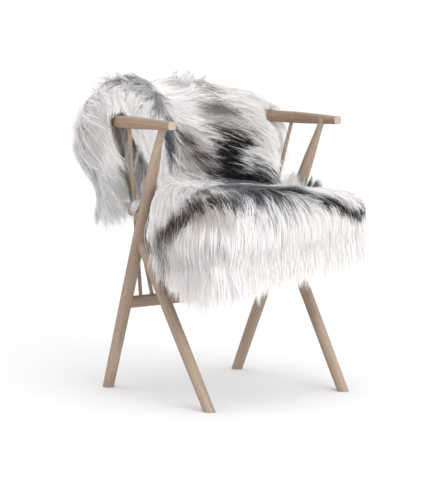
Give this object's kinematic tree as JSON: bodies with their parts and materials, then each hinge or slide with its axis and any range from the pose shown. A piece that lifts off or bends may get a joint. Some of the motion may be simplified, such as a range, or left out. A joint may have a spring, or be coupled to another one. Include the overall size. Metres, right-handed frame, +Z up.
{
  "type": "sheepskin draped on a wooden chair",
  "caption": "Long-haired sheepskin, white with grey and black markings, draped over the curved back and the seat of a plain pale wooden chair with arms.",
  "frame": {"origin": "on the floor, under the centre of the whole model's bounding box", "axes": "+Z up, -Y the way the chair faces, -X the side that the node names call left"},
  "size_m": [0.5974, 0.6769, 0.7816],
  "materials": {
    "pale_wood": "pale soaped wood, matt",
    "sheepskin_fur": "long silky natural hair on a hide"
  },
  "bodies": {
    "root": {"arm_bow": "pale_wood", "crossbar": "pale_wood", "front_leg_left": "pale_wood", "front_leg_right": "pale_wood", "rear_leg_left": "pale_wood", "rear_leg_right": "pale_wood", "seat_bearer_left": "pale_wood", "seat_bearer_right": "pale_wood", "seat_board": "pale_wood", "spindle_left_1": "pale_wood", "spindle_left_2": "pale_wood", "spindle_left_3": "pale_wood", "spindle_left_4": "pale_wood", "spindle_right_1": "pale_wood", "spindle_right_2": "pale_wood", "spindle_right_3": "pale_wood", "spindle_right_4": "pale_wood", "sheepskin": "sheepskin_fur", "fringe_front_left": "sheepskin_fur", "fringe_front_middle": "sheepskin_fur", "fringe_front_right": "sheepskin_fur", "fringe_rear_left": "sheepskin_fur", "fringe_rear_middle": "sheepskin_fur", "fringe_rear_right": "sheepskin_fur", "fringe_side_left": "sheepskin_fur", "fringe_side_right": "sheepskin_fur"}
  },
  "joints": []
}
